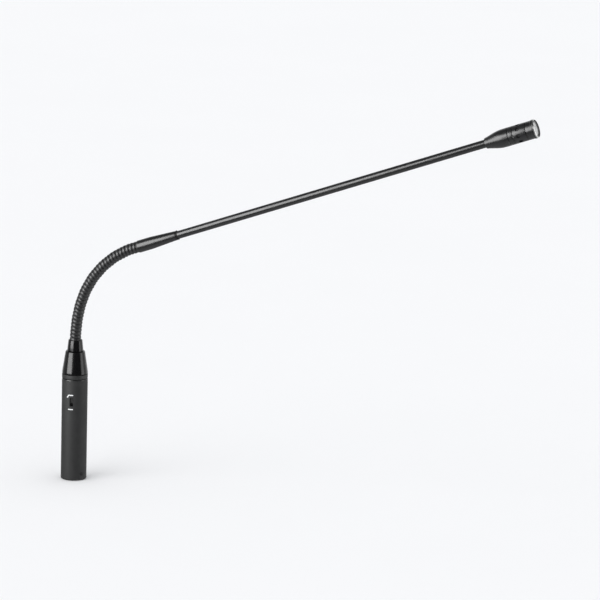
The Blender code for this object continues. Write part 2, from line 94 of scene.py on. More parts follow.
class Nodes:
    """A short way to build a material's nodes."""

    def __init__(self, name, color, metallic, roughness):
        self.material = bpy.data.materials.new(name)
        self.material.use_nodes = True
        self.tree = self.material.node_tree
        self.shader = self.tree.nodes["Principled BSDF"]
        self.shader.inputs["Base Color"].default_value = (*color, 1.0)
        self.shader.inputs["Metallic"].default_value = metallic
        self.shader.inputs["Roughness"].default_value = roughness
        self.where = self.tree.nodes.new("ShaderNodeTexCoord")

    def add(self, kind, **settings):
        node = self.tree.nodes.new("ShaderNode" + kind)
        for key, value in settings.items():
            if key in node.inputs:
                node.inputs[key].default_value = value
            else:
                setattr(node, key, value)
        return node

    def link(self, source, target):
        self.tree.links.new(source, target)

    def stretched(self, scale, space="Object"):
        mapping = self.add("Mapping")
        mapping.inputs["Scale"].default_value = scale
        self.link(self.where.outputs[space], mapping.inputs["Vector"])
        return mapping.outputs["Vector"]

    def noise(self, scale, detail=4.0, rough=0.5, vector=None):
        noise = self.add("TexNoise", Scale=scale, Detail=detail, Roughness=rough)
        self.link(vector or self.where.outputs["Object"], noise.inputs["Vector"])
        return noise.outputs["Fac"]

    def ramp(self, source, stops):
        ramp = self.add("ValToRGB")
        elements = ramp.color_ramp.elements
        while len(elements) < len(stops):
            elements.new(0.5)
        for element, (position, color) in zip(elements, stops):
            element.position = position
            element.color = (*color, 1.0)
        self.link(source, ramp.inputs["Fac"])
        return ramp.outputs["Color"]

    def map(self, source, low, high, start=0.3, end=0.7):
        return map_range(self.tree, source, low, high, start, end).outputs["Result"]

    def bump(self, height, strength, distance, below=None):
        bump = self.add("Bump", Strength=strength, Distance=distance)
        self.link(height, bump.inputs["Height"])
        if below is not None:
            self.link(below, bump.inputs["Normal"])
        return bump.outputs["Normal"]

    def to(self, name, source):
        self.link(source, self.shader.inputs[name])

    def set(self, name, value):
        self.shader.inputs[name].default_value = value


def coated(name, dark, light, roughness, grain, grain_size, coat=0.0, gleam=0.5):
    """A painted or anodised black: fine grain in the bump, and a faint uneven sheen."""
    n = Nodes(name, dark, 0.0, roughness)
    cloud = n.noise(160.0, 5.0, 0.6)
    n.to("Base Color", n.ramp(cloud, [(0.3, dark), (0.7, light)]))
    fine = n.noise(grain_size, 3.0, 0.7)
    handled = n.noise(55.0, 6.0, 0.65)
    n.to("Roughness", n.map(handled, roughness - 0.05, roughness + 0.06))
    broad = n.bump(cloud, 0.04, 0.0002)
    n.to("Normal", n.bump(fine, grain, 0.00006, broad))
    n.set("Specular IOR Level", gleam)
    n.set("Coat Weight", coat)
    n.set("Coat Roughness", 0.06)
    return n.material


def turned_metal(name, dark, light, roughness, strength=0.12):
    """Bare metal with the fine circular lines of the lathe, along the outline's own length."""
    n = Nodes(name, dark, 1.0, roughness)
    lines = n.noise(1.0, 6.0, 0.7, n.stretched((0.6, 9000.0, 1.0), "UV"))
    cloud = n.noise(240.0, 4.0, 0.6)
    n.to("Base Color", n.ramp(cloud, [(0.25, dark), (0.75, light)]))
    n.to("Roughness", n.map(lines, roughness - 0.08, roughness + 0.1))
    n.to("Normal", n.bump(lines, strength, 0.00003))
    return n.material


def plain_metal(name, dark, light, roughness, metallic=1.0):
    """Bare metal without a lathe's lines: small clouds of tarnish and fine scratches."""
    n = Nodes(name, dark, metallic, roughness)
    cloud = n.noise(420.0, 5.0, 0.65)
    scratch = n.noise(1.0, 5.0, 0.7, n.stretched((900.0, 900.0, 9000.0)))
    n.to("Base Color", n.ramp(cloud, [(0.25, dark), (0.75, light)]))
    n.to("Roughness", n.map(cloud, roughness - 0.08, roughness + 0.1))
    n.to("Normal", n.bump(scratch, 0.1, 0.00003))
    return n.material


def moulded(name, dark, light, roughness, grain=0.15):
    """Moulded plastic or rubber: a fine spark-eroded grain."""
    n = Nodes(name, dark, 0.0, roughness)
    grains = n.add("TexVoronoi", Scale=4200.0)
    n.link(n.where.outputs["Object"], grains.inputs["Vector"])
    cloud = n.noise(300.0, 5.0, 0.6)
    n.to("Base Color", n.ramp(cloud, [(0.3, dark), (0.7, light)]))
    n.to("Roughness", n.map(cloud, roughness - 0.06, roughness + 0.06))
    n.to("Normal", n.bump(grains.outputs["Distance"], grain, 0.00005))
    return n.material


def board_material():
    """Green solder mask over darker copper tracks."""
    n = Nodes("board_green", (0.02, 0.11, 0.05), 0.0, 0.35)
    tracks = n.add("TexBrick", Scale=520.0)
    tracks.inputs["Color1"].default_value = (0.015, 0.11, 0.045, 1.0)
    tracks.inputs["Color2"].default_value = (0.02, 0.14, 0.06, 1.0)
    tracks.inputs["Mortar"].default_value = (0.035, 0.2, 0.09, 1.0)
    n.link(n.where.outputs["Object"], tracks.inputs["Vector"])
    n.to("Base Color", tracks.outputs["Color"])
    n.to("Roughness", n.map(n.noise(500.0), 0.28, 0.42))
    n.to("Normal", n.bump(tracks.outputs["Fac"], 0.25, 0.00004))
    return n.material


def neck_material():
    """Blackened spring wire, with painted shade darkening the grooves and a painted highlight brightening
    the crests of the turns.
    """
    n = Nodes("neck_wire_black", (0.02, 0.02, 0.021), 0.0, 0.3)
    crest = n.add("Attribute", attribute_name="crest")
    # colours set by the wire's lift: painted shade in the grooves, painted highlight on the crests
    groove, side, top = (0.006, 0.006, 0.006), (0.02, 0.02, 0.0205), (0.034, 0.034, 0.035)
    painted_rib_shading = n.ramp(crest.outputs["Fac"], [(0.0, groove), (0.6, side), (1.0, top)])
    cloud = n.noise(420.0, 5.0, 0.65)
    mixed = n.add("Mix", data_type="RGBA", blend_type="MULTIPLY")
    mixed.inputs[0].default_value = 0.5
    n.link(painted_rib_shading, mixed.inputs[6])
    n.link(n.ramp(cloud, [(0.3, (0.6, 0.6, 0.6)), (0.7, (1.0, 1.0, 1.0))]), mixed.inputs[7])
    n.to("Base Color", mixed.outputs[2])
    n.to("Roughness", n.map(cloud, 0.3, 0.42))
    n.set("Specular IOR Level", 0.7)
    drawn = n.noise(1.0, 5.0, 0.7, n.stretched((1400.0, 9000.0, 1400.0)))
    n.to("Normal", n.bump(drawn, 0.12, 0.00003))
    return n.material


def white_ink():
    """Screen-printed ink: slightly broken by the grain under it."""
    n = Nodes("white_ink", (0.86, 0.87, 0.87), 0.0, 0.45)
    specks = n.noise(3500.0, 3.0, 0.7)
    n.to("Base Color", n.ramp(specks, [(0.25, (0.7, 0.71, 0.71)), (0.45, (0.9, 0.91, 0.91))]))
    n.to("Roughness", n.map(specks, 0.38, 0.55))
    n.to("Normal", n.bump(specks, 0.15, 0.00003))
    return n.material


BASE_SATIN = coated(
    "base_satin_black", (0.02, 0.0205, 0.021), (0.025, 0.0255, 0.026),
    roughness=0.59, grain=0.35, grain_size=5200.0,
)
RING_MATTE = coated(
    "ring_matte_black", (0.025, 0.0255, 0.026), (0.03, 0.0305, 0.031),
    roughness=0.52, grain=0.4, grain_size=4200.0,
)
CONE_GLOSS = coated(
    "cone_gloss_black", (0.0035, 0.0035, 0.004), (0.0045, 0.0045, 0.005),
    roughness=0.2, grain=0.03, grain_size=2500.0, coat=0.2,
)
SEAM_GLOSS = coated(
    "seam_gloss_black", (0.022, 0.0225, 0.023), (0.027, 0.0275, 0.028),
    roughness=0.3, grain=0.05, grain_size=4200.0, coat=0.7,
)
TUBE_SATIN = coated(
    "tube_satin_black", (0.012, 0.0124, 0.0128), (0.016, 0.0164, 0.0168),
    roughness=0.27, grain=0.12, grain_size=5200.0, gleam=0.8,
)
HEAD_SATIN = coated(
    "head_satin_black", (0.012, 0.0124, 0.0128), (0.016, 0.0164, 0.0168),
    roughness=0.29, grain=0.16, grain_size=5200.0, gleam=0.8,
)
NECK_WIRE = neck_material()
INK = white_ink()
SCREEN_GREY = moulded("screen_grey", (0.014, 0.014, 0.015), (0.03, 0.03, 0.031), 0.6, grain=0.5)
MESH_STEEL = plain_metal("grille_pale_steel", (0.82, 0.82, 0.81), (0.95, 0.95, 0.94), 0.35, metallic=0.2)
EDGE_STEEL = turned_metal("steel_polished_edge", (0.82, 0.82, 0.81), (0.92, 0.92, 0.91), 0.3, strength=0.06)
# a dark steel: the real ring's metal, darkened as painted shade of the rim's inner wall
LIP_STEEL_PAINTED_SHADE = plain_metal("steel_darkened_painted_shade", (0.13, 0.13, 0.132), (0.2, 0.2, 0.202), 0.45, metallic=0.5)
STEEL = plain_metal("steel_plain", (0.42, 0.43, 0.45), (0.6, 0.61, 0.63), 0.3)
DARK_BRASS = plain_metal("brass_blackened", (0.02, 0.018, 0.016), (0.045, 0.04, 0.035), 0.4, metallic=0.6)
PLAIN_BRASS = plain_metal("brass_plain", (0.5, 0.35, 0.14), (0.68, 0.49, 0.22), 0.3)
GOLD = turned_metal("gold_turned", (0.78, 0.52, 0.2), (0.9, 0.66, 0.3), 0.2)
PLAIN_GOLD = plain_metal("gold_plain", (0.78, 0.52, 0.2), (0.9, 0.66, 0.3), 0.22)
RUBBER = moulded("rubber_black", (0.006, 0.006, 0.006), (0.012, 0.012, 0.012), 0.6, grain=0.25)
PLASTIC = moulded("plastic_dark", (0.012, 0.012, 0.013), (0.02, 0.02, 0.021), 0.42)
# a grey lighter than the dark plastic: painted fill light that lifts the shade in the switch opening
FRAME_PAINTED_FILL = moulded("plastic_frame_painted_fill", (0.05, 0.05, 0.052), (0.08, 0.08, 0.083), 0.4)
BOARD = board_material()
PALE_FOAM = moulded("foam_pale", (0.3, 0.3, 0.295), (0.42, 0.42, 0.41), 0.8, grain=0.6)


# ---------------------------------------------------------------- mesh helpers


# a point with a smaller radius than this lies on the axis
ON_AXIS = 1e-6


def rounded(outline, radius, steps=4):
    """The closed outline with each corner turned into a small arc."""
    result = []
    count = len(outline)
    for i in range(count):
        before, corner, after = (Vector(outline[k % count]) for k in (i - 1, i, i + 1))
        if corner[0] < ON_AXIS:
            result.append(tuple(corner))
            continue
        reach_in, reach_out = before - corner, after - corner
        straight = abs(reach_in.normalized().dot(reach_out.normalized()) + 1.0) < 0.02
        longest = 0.45 * min(reach_in.length, reach_out.length)
        cut = min(radius, longest)
        if straight or cut < 0.01:
            result.append(tuple(corner))
            continue
        start = corner + cut * reach_in.normalized()
        end = corner + cut * reach_out.normalized()
        for k in range(steps + 1):
            t = k / steps
            result.append(tuple((1 - t) ** 2 * start + 2 * t * (1 - t) * corner + t**2 * end))
    return result


def lathe_bm(outline, segments):
    """A body of revolution about Z from a closed (radius, height) outline, with UVs around and along it."""
    bm = bmesh.new()
    rings = []
    for radius, height in outline:
        if radius < ON_AXIS:
            rings.append([bm.verts.new((0.0, 0.0, height))])
            continue
        turns = [2.0 * math.pi * i / segments for i in range(segments)]
        rings.append([bm.verts.new((radius * math.cos(a), radius * math.sin(a), height)) for a in turns])
    uv = bm.loops.layers.uv.new("UVMap")
    run = [0.0]
    for (r0, z0), (r1, z1) in zip(outline, outline[1:] + outline[:1]):
        run.append(run[-1] + math.hypot(r1 - r0, z1 - z0) * MM)
    for k, (lower, upper) in enumerate(zip(rings, rings[1:] + rings[:1])):
        if len(lower) == 1 and len(upper) == 1:
            continue
        for i in range(segments):
            j = (i + 1) % segments
            corners = [
                (lower[i % len(lower)], i, run[k]),
                (lower[j % len(lower)], i + 1, run[k]),
                (upper[j % len(upper)], i + 1, run[k + 1]),
                (upper[i % len(upper)], i, run[k + 1]),
            ]
            kept = []
            for corner in corners:
                if corner[0] not in [c[0] for c in kept]:
                    kept.append(corner)
            face = bm.faces.new([c[0] for c in kept])
            for loop, corner in zip(face.loops, kept):
                loop[uv].uv = (corner[1] / segments, corner[2])
    return bm


def lathe_bm_at(outline, segments, matrix):
    bm = lathe_bm(outline, segments)
    bmesh.ops.transform(bm, matrix=matrix, verts=bm.verts)
    return bm


def rod_bm(radius, length, segments, matrix):
    half = length / 2.0
    return lathe_bm_at([(0.0, -half), (radius, -half), (radius, half), (0.0, half)], segments, matrix)


def block_bm(size, centre, bevel=0.0):
    bm = bmesh.new()
    bmesh.ops.create_cube(bm, size=1.0)
    bmesh.ops.scale(bm, vec=size, verts=bm.verts)
    if bevel:
        bmesh.ops.bevel(bm, geom=bm.edges[:], offset=bevel, segments=3, profile=0.5, affect="EDGES")
    bmesh.ops.translate(bm, vec=centre, verts=bm.verts)
    return bm


def joined(pieces):
    """One mesh from several, which are used up."""
    whole = bmesh.new()
    for piece in pieces:
        mesh = bpy.data.meshes.new("piece")
        piece.to_mesh(mesh)
        piece.free()
        whole.from_mesh(mesh)
        bpy.data.meshes.remove(mesh)
    return whole


def as_object(name, bm, material, smooth):
    """An object from a mesh in metres. Edges sharper than this many degrees stay sharp."""
    bmesh.ops.recalc_face_normals(bm, faces=bm.faces)
    mesh = bpy.data.meshes.new(name)
    bm.to_mesh(mesh)
    bm.free()
    mesh.materials.append(material)
    obj = bpy.data.objects.new(name, mesh)
    bpy.context.scene.collection.objects.link(obj)
    mesh.shade_smooth()
    mesh.set_sharp_from_angle(angle=math.radians(smooth))
    return obj


def make(name, bm, material, placement=BASE, smooth=35.0):
    """An object from a mesh in millimetres, put in its place."""
    bmesh.ops.transform(bm, matrix=Matrix.Scale(MM, 4), verts=bm.verts)
    bmesh.ops.transform(bm, matrix=placement, verts=bm.verts)
    return as_object(name, bm, material, smooth)


def carve(obj, cutter_bm, placement=BASE, smooth=35.0):
    """Cuts the shapes out of the object's mesh for good."""
    cutter = make(obj.name + "_cutter", cutter_bm, obj.data.materials[0], placement)
    boolean = obj.modifiers.new("cut", "BOOLEAN")
    boolean.operation = "DIFFERENCE"
    boolean.solver = "EXACT"
    boolean.object = cutter
    bpy.context.view_layer.update()
    evaluated = obj.evaluated_get(bpy.context.evaluated_depsgraph_get())
    carved = bpy.data.meshes.new_from_object(evaluated)
    obj.modifiers.clear()
    whole, obj.data = obj.data, carved
    bpy.data.meshes.remove(whole)
    bpy.data.objects.remove(cutter, do_unlink=True)
    while len(carved.materials) > 1:
        carved.materials.pop()
    carved.shade_smooth()
    carved.set_sharp_from_angle(angle=math.radians(smooth))


def settle(obj, body, slot, *nodes):
    """Gives the object its body and hides the pieces that it stands for; the slot is not used."""
    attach(obj, body)
    if nodes:
        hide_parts(*nodes)
    return obj


def base_lathe(name, outline, material, slot, nodes, edge=0.12, segments=96):
    obj = make(name, lathe_bm(rounded(outline, edge), segments), material)
    return settle(obj, "base", slot, *nodes)


def arm_lathe(name, outline, material, slot, nodes, edge=0.1, segments=80):
    obj = make(name, lathe_bm(rounded(outline, edge), segments), material, ARM)
    return settle(obj, "arm", slot, *nodes)


def around(azimuth):
    """Turns a shape that faces -Y to face this azimuth, counted from -Y towards +X."""
    return Matrix.Rotation(math.radians(azimuth), 4, "Z")


# turns a shape's own Z to point along -Y
LYING = Matrix.Rotation(math.radians(90.0), 4, "X")


# ---------------------------------------------------------------- base module


# millimetres from the base's axis and above its foot
BASE_R = 9.5
BASE_BORE_R = 8.3
WINDOW_HEIGHT = 59.3
LATCH_HEIGHT = 8.0
SCREW_AZIMUTH = 56.4
SCREW_HEIGHT = 4.7
SCREW_DEPTH_R = 8.75
SLIDER_FACE_R = 8.5
PIN_CIRCLE_R = 4.1
PIN_ANGLES = (20.0, 160.0, 270.0)
SOCKET_FLOOR = 17.0

# how far a printed mark stands out of the base's side, and how far it goes in
MARK_LIFT = 0.03
MARK_DEPTH = 0.02


def build_housing():
    """The shell, with its openings for the switch, the screw, the latch and the plug's key."""
    outline = [
        (BASE_BORE_R, 0.0), (9.2, 0.0), (BASE_R, 0.3), (BASE_R, 75.2),
        (9.1, 75.2), (9.1, 75.7), (BASE_BORE_R, 75.7),
    ]
    housing = make("base_shell", lathe_bm(rounded(outline, 0.08), 128), BASE_SATIN)
    window = block_bm((2.8, 4.0, 6.4), (0.0, -BASE_R, WINDOW_HEIGHT), 0.35)
    bmesh.ops.transform(window, matrix=around(SWITCH_AZIMUTH), verts=window.verts)
    screw_place = around(SCREW_AZIMUTH) @ Matrix.Translation((0.0, -BASE_R, SCREW_HEIGHT)) @ LYING
    screw_hole = rod_bm(1.3, 4.0, 32, screw_place)
    latch_slot = block_bm((4.8, 4.0, 3.2), (0.0, BASE_R, LATCH_HEIGHT), 0.3)
    key_groove = block_bm((3.0, 0.8, 6.0), (0.0, BASE_BORE_R, 2.6))
    carve(housing, joined([window, screw_hole, latch_slot, key_groove]))
    settle(housing, "base", "satin_black", "base_housing")


def build_base_rings():
    """What stands on the shell: a shiny edge at the seam, a matt ring, the cone and the stepped tier."""
    seam = [(9.13, 75.23), (BASE_R, 75.23), (9.43, 75.68), (9.13, 75.68)]
    base_lathe("seam_edge", seam, SEAM_GLOSS, "gloss_black", [], 0.06)
    ring = [(BASE_BORE_R, 76.0), (9.2, 76.0), (BASE_R, 76.35), (BASE_R, 79.15), (BASE_BORE_R, 79.15)]
    base_lathe("base_ring", ring, RING_MATTE, "matte_black", ["collar_ring"])
    cone = [
        (BASE_BORE_R, 79.45), (9.3, 79.45), (BASE_R, 79.7), (BASE_R, 80.6), (9.3, 81.95),
        (7.2, 95.7), (6.75, 96.3), (5.7, 96.3), (5.7, 87.8), (BASE_BORE_R, 82.95),
    ]
    base_lathe("base_cone", cone, CONE_GLOSS, "gloss_black", ["neck_cone"], 0.35)
    tier = [
        (4.25, 88.5), (5.4, 88.5), (5.4, 96.5), (5.95, 96.5),
        (5.15, 104.4), (4.75, 104.8), (4.25, 104.8),
    ]
    base_lathe("base_tier", tier, CONE_GLOSS, "gloss_black", ["neck_collar"], 0.2)


def build_screw():
    """A set screw in the shell's side, with a sunk middle and a straight slot."""
    outline = [
        (0.0, -0.5), (1.15, -0.5), (1.15, 0.35), (1.0, 0.5),
        (0.62, 0.5), (0.55, 0.4), (0.55, -0.1), (0.0, -0.25),
    ]
    in_shell = Matrix.Translation((0.0, -SCREW_DEPTH_R * MM, SCREW_HEIGHT * MM))
    placement = around(SCREW_AZIMUTH) @ in_shell @ LYING
    screw = make("shell_screw", lathe_bm(rounded(outline, 0.05, 2), 48), RING_MATTE, placement)
    slot = block_bm((0.5, 2.6, 0.9), (0.0, 0.0, 0.55))
    carve(screw, slot, placement)
    settle(screw, "base", "matte_black", "shell_set_screw")


def pin_point(angle):
    a = math.radians(angle)
    return Vector((PIN_CIRCLE_R * math.cos(a), PIN_CIRCLE_R * math.sin(a), 0.0))


def build_connector():
    """The connector's insulating block, bored for the pins, and its three pins."""
    block = [(0.0, 12.0), (8.0, 12.0), (8.0, SOCKET_FLOOR), (0.0, SOCKET_FLOOR)]
    insert = make("connector_insert", lathe_bm(rounded(block, 0.25), 96), PLASTIC)
    pins = [pin_point(angle) for angle in PIN_ANGLES]
    floor_up = Vector((0.0, 0.0, SOCKET_FLOOR))
    holes = [rod_bm(1.35, 14.0, 32, Matrix.Translation(point + floor_up)) for point in pins]
    notch = block_bm((2.6, 1.6, 12.0), (0.0, 8.0, SOCKET_FLOOR))
    carve(insert, joined([*holes, notch]))
    settle(insert, "base", "dark_plastic", "xlr_insulator")
    outline = [(0.0, 1.6), (0.55, 1.65), (1.0, 2.05), (1.2, 2.8), (1.2, 21.0), (0.0, 21.0)]
    for number, point in enumerate(pins, start=1):
        placement = Matrix.Translation(point * MM)
        pin = make(f"connector_pin_{number}", lathe_bm(rounded(outline, 0.3), 40), GOLD, placement)
        settle(pin, "base", "gold", f"xlr_pin_{number}")


def build_slider():
    """The switch's finger block, with narrow grooves across it for grip."""
    height = (SLIDER_LOW.z + SLIDER_HIGH.z) / 2.0 / MM
    face = -SLIDER_FACE_R
    body = block_bm((2.4, 2.2, 3.6), (0.0, face + 1.1, height), 0.12)
    slider = make("low_cut_slider", body, BASE_SATIN, around(SWITCH_AZIMUTH))
    steps = (-1.2, -0.6, 0.0, 0.6, 1.2)
    grooves = [block_bm((3.0, 0.5, 0.35), (0.0, face, height + step)) for step in steps]
    carve(slider, joined(grooves), around(SWITCH_AZIMUTH))
    settle(slider, "switch", "satin_black", "switch_slider")


def strip(name, points, width):
    """A thin printed line that follows the base's curved side through these (azimuth, height) points."""
    radius = BASE_R + MARK_LIFT
    divisions = 8
    path = []
    for (a0, z0), (a1, z1) in zip(points, points[1:]):
        for k in range(divisions):
            t = k / divisions
            path.append((a0 + (a1 - a0) * t, z0 + (z1 - z0) * t))
    path.append(points[-1])
    degrees_per_mm = 180.0 / math.pi / radius
    bm = bmesh.new()
    rows = []
    for i, (a, z) in enumerate(path):
        ahead = path[min(i + 1, len(path) - 1)]
        behind = path[max(i - 1, 0)]
        run = Vector(((ahead[0] - behind[0]) / degrees_per_mm, ahead[1] - behind[1])).normalized()
        side = Vector((-run.y, run.x)) * width / 2.0
        row = []
        for sign in (-1.0, 1.0):
            azimuth = math.radians(a + sign * side.x * degrees_per_mm)
            for r in (radius, BASE_R - MARK_DEPTH):
                row.append(bm.verts.new((r * math.sin(azimuth), -r * math.cos(azimuth), z + sign * side.y)))
        rows.append(row)
    for lower, upper in zip(rows, rows[1:]):
        for p, q in ((0, 2), (2, 3), (3, 1), (1, 0)):
            bm.faces.new((lower[p], lower[q], upper[q], upper[p]))
    for row in (rows[0], rows[-1]):
        bm.faces.new((row[0], row[2], row[3], row[1]))
    settle(make(name, bm, INK), "base", "satin_black")


def build_marks():
    """The usual signs beside a low-cut switch: a sloping response above and a flat one below."""
    middle = SWITCH_AZIMUTH
    strip("mark_low_cut", [(middle - 20.5, 62.5), (middle - 13.2, 64.5), (middle + 7.5, 64.5)], 0.8)
    strip("mark_flat", [(middle - 15.5, 53.8), (middle + 7.5, 53.8)], 0.75)


# ---------------------------------------------------------------- neck


# the neck's winding, in millimetres: from turn to turn, and the wire's outermost and innermost radius
RIB_PITCH = 2.78
CREST_R = 4.2
VALLEY_R = 3.7
NECK_BORE_R = 1.4

# the cable's radius in millimetres
CABLE_R = 0.9

# in metres: the neck below its first stretch and above its last one, and the cable in the tube
FOOT_LENGTH = 0.0195
TIP_LENGTH = 0.0013
UPPER_CABLE_LENGTH = 0.2995


def neck_knots():
    """The stretches' ends: half way along each link, and half a link beyond the first and last hinge."""
    first = PIVOTS[0] - HALF_LINK * UP
    middles = [(a + b) / 2.0 for a, b in zip(PIVOTS, PIVOTS[1:])]
    return [first, *middles, PIVOTS[-1] + HALF_LINK * ARM_DIRECTION]


KNOTS = neck_knots()


def rib(phase):
    """How far the wire stands out at this share of a turn: a round wire with a narrow gap beside it."""
    x = (2.0 * (phase % 1.0) - 1.0) / 0.9
    return math.sqrt(max(0.0, 1.0 - x * x))


def neck_frames(index, rings):
    """Points and directions along one stretch, on a curve drawn towards its hinge."""
    a, pivot, b = KNOTS[index], PIVOTS[index], KNOTS[index + 1]
    frames = []
    for k in range(rings + 1):
        t = k / rings
        point = (1 - t) ** 2 * a + 2 * t * (1 - t) * pivot + t * t * b
        ahead = 2 * (1 - t) * (pivot - a) + 2 * t * (b - pivot)
        frames.append((point, ahead.normalized()))
    return frames


def straight_frames(start, direction, length, rings):
    """Points and directions along a straight line."""
    return [(start + direction * length * k / rings, direction) for k in range(rings + 1)]


def tube_along(name, frames, material, segments, outer_radius, bore=0.0, start=0.0):
    """A tube along the frames, or a rod where it has no bore.

    outer_radius takes the distance along in millimetres and the share of a turn.
    It gives the radius there and how far the surface stands out, from 0 to 1.
    """
    bm = bmesh.new()
    # the lift of each point, which the neck's material turns into painted shade and painted highlight
    crest = bm.verts.layers.float.new("crest")
    side = Vector((0.0, 1.0, 0.0))
    outer, inner, along = [], [], start
    previous = frames[0][0]
    for point, ahead in frames:
        along += (point - previous).length / MM
        previous = point
        across = side.cross(ahead).normalized()
        ring_out, ring_in = [], []
        for k in range(segments):
            a = 2.0 * math.pi * k / segments
            spoke = math.cos(a) * side + math.sin(a) * across
            radius, lift = outer_radius(along, k / segments)
            vert = bm.verts.new(point + radius * MM * spoke)
            vert[crest] = lift
            ring_out.append(vert)
            if bore:
                ring_in.append(bm.verts.new(point + bore * MM * spoke))
        outer.append(ring_out)
        inner.append(ring_in)
    for k in range(segments):
        j = (k + 1) % segments
        for lower, upper in zip(outer, outer[1:]):
            bm.faces.new((lower[k], lower[j], upper[j], upper[k]))
        if bore:
            for lower, upper in zip(inner, inner[1:]):
                bm.faces.new((lower[j], lower[k], upper[k], upper[j]))
            bm.faces.new((outer[0][j], outer[0][k], inner[0][k], inner[0][j]))
            bm.faces.new((outer[-1][k], outer[-1][j], inner[-1][j], inner[-1][k]))
    if not bore:
        bm.faces.new(outer[0][::-1])
        bm.faces.new(outer[-1])
    return as_object(name, bm, material, 70.0), along


def wound_radius(along, turn):
    """The wound wire's radius and its lift, at this distance from the neck's start and share of a turn."""
    lift = rib(along / RIB_PITCH - turn)
    return VALLEY_R + (CREST_R - VALLEY_R) * lift, lift


def wound_tube(name, frames, along):
    """A piece of the neck. It also gives the distance from the neck's start at which it ends."""
    return tube_along(name, frames, NECK_WIRE, 48, wound_radius, NECK_BORE_R, along)


def cable_rod(name, frames):
    """A piece of the cable."""
    return tube_along(name, frames, RUBBER, 20, lambda along, turn: (CABLE_R, 1.0))[0]


def build_neck():
    """The foot in the base, a stretch over each hinge, and the tip with its sleeve in the arm."""
    foot = KNOTS[0] - FOOT_LENGTH * UP
    stub, along = wound_tube("neck_foot", straight_frames(foot, UP, FOOT_LENGTH, 90), 0.0)
    settle(stub, "base", "neck_black", "neck_anchor")
    for i in range(len(PIVOTS)):
        piece, along = wound_tube(f"neck_stretch_{i + 1:02d}", neck_frames(i, 30), along)
        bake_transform(piece)
        if i < len(PIVOTS) - 1:
            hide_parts(f"neck_link_{i + 1:02d}")
    tip, along = wound_tube("neck_tip", straight_frames(KNOTS[-1], ARM_DIRECTION, TIP_LENGTH, 7), along)
    settle(tip, "arm", "neck_black")
    core = [(NECK_BORE_R, 1.45), (3.5, 1.45), (3.5, 14.0), (NECK_BORE_R, 14.0)]
    arm_lathe("neck_core", core, NECK_WIRE, "neck_black", ["neck_end_sleeve"])


def build_cable():
    """The cable's lower part, a short stretch over each hinge, and its upper part in the tube."""
    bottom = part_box("signal_cable")[0].z
    start = Vector((0.0, 0.0, bottom))
    lower = cable_rod("cable_lower", straight_frames(start, UP, KNOTS[0].z - bottom, 6))
    settle(lower, "base", "rubber", "signal_cable")
    for i in range(len(PIVOTS)):
        piece = cable_rod(f"cable_stretch_{i + 1:02d}", neck_frames(i, 6))
        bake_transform(piece)
    upper = cable_rod("cable_upper", straight_frames(KNOTS[-1], ARM_DIRECTION, UPPER_CABLE_LENGTH, 12))
    settle(upper, "arm", "rubber")


# ---------------------------------------------------------------- arm and head


# millimetres: the head's outer and inner radius, its ports, and the mesh's height along the arm
HEAD_R = 6.6
HEAD_BORE_R = 5.75
PORT_COUNT = 8
FIRST_PORT_AZIMUTH = 10.0
PORT_R = 1.45
PORT_HEIGHT = 302.4
MESH_HEIGHT = 313.72


def build_arm():
    """The ferrule that grips the neck, the seal at its end and the long tube."""
    ferrule = [
        (4.12, 0.0), (4.35, 0.0), (4.55, 0.45), (4.52, 11.0), (4.3, 14.5), (3.42, 30.4),
        (3.3, 31.0), (3.1, 31.0), (3.1, 15.5), (3.8, 15.5), (3.8, 1.6), (4.12, 1.5),
    ]
    arm_lathe("ferrule_body", ferrule, TUBE_SATIN, "satin_black", ["neck_ferrule"], 0.3)
    ring = [(3.1, 31.3), (3.35, 31.3), (3.55, 31.75), (3.35, 32.2), (3.1, 32.2)]
    arm_lathe("ferrule_seal", ring, RUBBER, "rubber", ["ferrule_ring"])
    tube = [(2.25, 17.0), (2.95, 17.0), (2.95, 285.0), (2.25, 285.0)]
    arm_lathe("tube_long", tube, TUBE_SATIN, "satin_black", ["arm_tube"])


def smooth_outline(points, count):
    """More points on a smooth curve through these ones."""
    result = []
    for i in range(len(points) - 1):
        p0, p1 = points[max(i - 1, 0)], points[i]
        p2, p3 = points[i + 1], points[min(i + 2, len(points) - 1)]
        for k in range(count):
            t = k / count
            result.append(tuple(
                0.5 * (2 * p1[c] + (p2[c] - p0[c]) * t + (2 * p0[c] - 5 * p1[c] + 4 * p2[c] - p3[c]) * t**2
                       + (3 * p1[c] - p0[c] - 3 * p2[c] + p3[c]) * t**3)
                for c in (0, 1)
            ))
    result.append(points[-1])
    return result


def build_head():
    """The head's shells from the tube to the rim, and the mesh inside the rim."""
    build_head_back()
    band = [(HEAD_BORE_R, 294.8), (HEAD_R, 294.8), (HEAD_R, 298.2), (HEAD_BORE_R, 298.2)]
    arm_lathe("head_band", band, HEAD_SATIN, "satin_black", ["head_lock_ring"], 0.2)
    build_head_ports()
    build_head_rim()
    screen = [(5.38, 298.9), (5.5, 298.9), (5.5, 307.9), (5.38, 307.9)]
    arm_lathe("port_screen", screen, SCREEN_GREY, "steel", [], 0.02)
    build_mesh_disc()


def build_head_back():
    """The rear shell, which widens from the tube to the head in one smooth curve."""
    curve = [
        (4.0, 276.9), (4.36, 278.4), (5.25, 281.8), (6.0, 284.9),
        (6.4, 287.4), (6.58, 290.0), (HEAD_R, 292.6),
    ]
    shoulder = smooth_outline(curve, 6)
    rear = [
        (3.1, 276.0), (3.6, 276.0), (3.87, 276.25), *shoulder, (HEAD_R, 294.25), (6.4, 294.5),
        (HEAD_BORE_R, 294.5), (HEAD_BORE_R, 289.0), (4.3, 285.5), (3.1, 285.5),
    ]
    obj = make("head_back", lathe_bm(rear, 96), HEAD_SATIN, ARM)
    settle(obj, "arm", "satin_black", "head_rear_shell")


